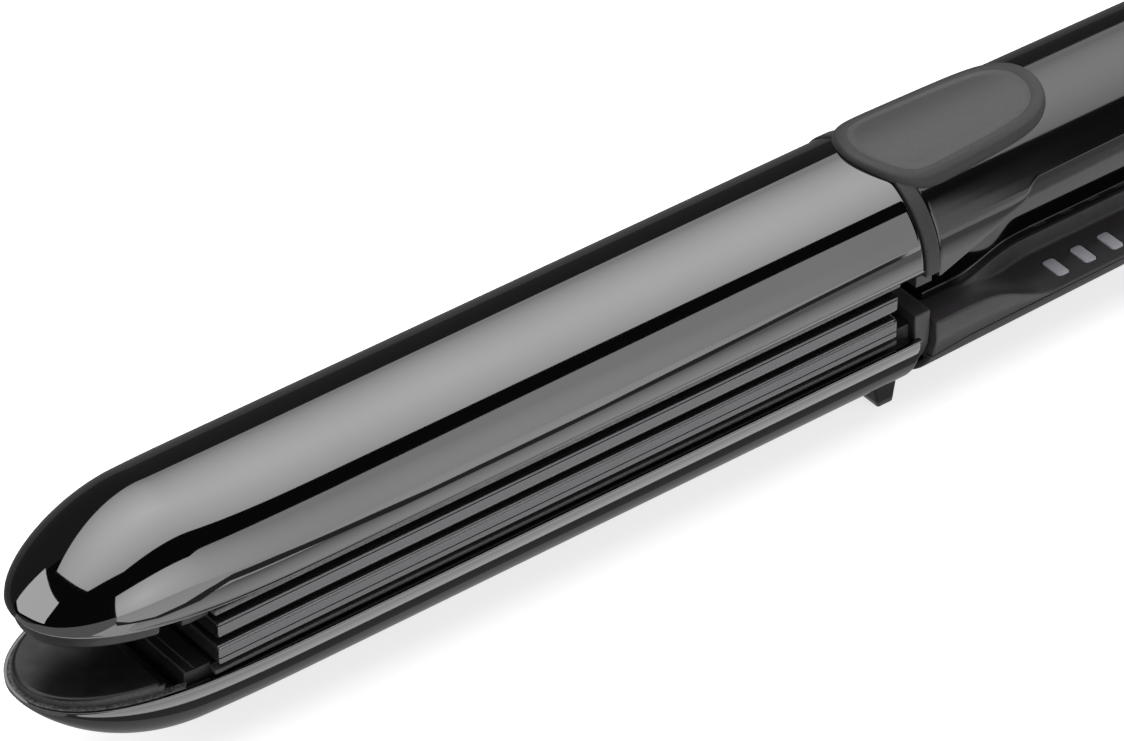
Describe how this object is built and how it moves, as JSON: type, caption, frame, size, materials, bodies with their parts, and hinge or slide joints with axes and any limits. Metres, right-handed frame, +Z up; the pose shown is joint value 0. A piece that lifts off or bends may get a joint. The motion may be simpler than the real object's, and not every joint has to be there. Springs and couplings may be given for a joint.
{
  "type": "hair straightener",
  "caption": "Closed hair straightener: half-round glossy barrels over sprung heating plates, rubber thumb pad, hinged handles with lights, buttons and a cord inlet",
  "frame": {"origin": "middle of the closed straightener's footprint, on the plane that the rest foot's sole lies in", "axes": "+X from the nose towards the cord inlet, +Y across the width away from the indicator lights, +Z up, from the lower arm to the upper arm"},
  "size_m": [0.3158, 0.0296, 0.0427],
  "materials": {
    "shell": "metallic dark grey, high gloss",
    "plate": "dark ceramic coating, polished",
    "cap": "black, satin",
    "carrier": "grey, fine texture",
    "rubber": "dark grey, matte",
    "gloss": "black, high gloss",
    "housing": "dark grey, satin",
    "window": "pale grey, translucent look",
    "ceramic": "matte",
    "steel": "plain",
    "shield": "mica sheet, stands in as plastic",
    "board": "glass-fibre board",
    "lead": "silicone insulation"
  },
  "bodies": {
    "lower_arm": {"lower_barrel_shell": "shell", "lower_tip_cap": "cap", "lower_plate_carrier": "carrier", "lower_float_spring_front": "steel", "lower_float_spring_rear": "steel", "lower_heat_shield": "shield", "lower_coupler": "carrier", "lower_handle_cover": "gloss", "lower_inner_housing": "housing", "rest_foot": "cap", "control_panel": "gloss", "power_switch": "cap", "plus_switch": "cap", "minus_switch": "cap", "indicator_window_1": "window", "indicator_window_2": "window", "indicator_window_3": "window", "indicator_window_4": "window", "indicator_window_5": "window", "indicator_light_strip": "window", "circuit_board": "board", "hinge_pin": "steel", "hinge_spring": "steel", "tail_cap": "gloss", "gland_bush": "cap", "lower_cover_screw_front": "steel", "lower_cover_screw_rear": "steel", "lower_heater_lead_left": "lead", "lower_heater_lead_right": "lead"},
    "upper_arm": {"upper_barrel_shell": "shell", "upper_tip_cap": "cap", "upper_plate_carrier": "carrier", "upper_float_spring_front": "steel", "upper_float_spring_rear": "steel", "upper_heat_shield": "shield", "upper_coupler": "carrier", "grip_collar": "rubber", "upper_handle_cover": "gloss", "upper_inner_housing": "housing", "upper_cover_screw_front": "steel", "upper_cover_screw_rear": "steel", "upper_heater_lead_left": "lead", "upper_heater_lead_right": "lead"},
    "upper_plate": {"upper_heating_plate": "plate", "upper_heater": "ceramic", "upper_heater_clamp": "steel", "upper_temperature_sensor": "ceramic", "thermal_fuse": "steel"},
    "lower_plate": {"lower_heating_plate": "plate", "lower_heater": "ceramic", "lower_heater_clamp": "steel", "lower_temperature_sensor": "ceramic"},
    "power_key": {"power_button": "gloss"},
    "plus_key": {"plus_button": "gloss"},
    "minus_key": {"minus_button": "gloss"},
    "lock": {"lock_slider": "cap"},
    "inlet": {"cord_swivel": "cap"}
  },
  "joints": [
    {"name": "arm_hinge", "type": "hinge", "parent": "lower_arm", "child": "upper_arm", "pos_m": [0.12593, 0, 0.0226], "axis": [0, 1, 0], "range_deg": [0, 26]},
    {"name": "upper_plate_float", "type": "slide", "parent": "upper_arm", "child": "upper_plate", "axis": [0, 0, 1], "range_m": [0, 0.0008], "stiffness_N_per_m": 3000, "springref_m": -0.001, "deforming": ["upper_float_spring_front", "upper_float_spring_rear"]},
    {"name": "lower_plate_float", "type": "slide", "parent": "lower_arm", "child": "lower_plate", "axis": [0, 0, -1], "range_m": [0, 0.0008], "stiffness_N_per_m": 3000, "springref_m": -0.001, "deforming": ["lower_float_spring_front", "lower_float_spring_rear"]},
    {"name": "power_press", "type": "slide", "parent": "lower_arm", "child": "power_key", "axis": [0, 0, -1], "range_m": [0, 0.0005], "stiffness_N_per_m": 1500, "springref_m": -0.0005},
    {"name": "plus_press", "type": "slide", "parent": "lower_arm", "child": "plus_key", "axis": [0, 0, -1], "range_m": [0, 0.0005], "stiffness_N_per_m": 1500, "springref_m": -0.0005},
    {"name": "minus_press", "type": "slide", "parent": "lower_arm", "child": "minus_key", "axis": [0, 0, -1], "range_m": [0, 0.0005], "stiffness_N_per_m": 1500, "springref_m": -0.0005},
    {"name": "lock_slide", "type": "slide", "parent": "lower_arm", "child": "lock", "axis": [1, 0, 0], "range_m": [0, 0.004]},
    {"name": "cord_swivel_spin", "type": "hinge", "parent": "lower_arm", "child": "inlet", "pos_m": [0.1485, 0, 0.0211], "axis": [1, 0, 0], "continuous": true}
  ]
}
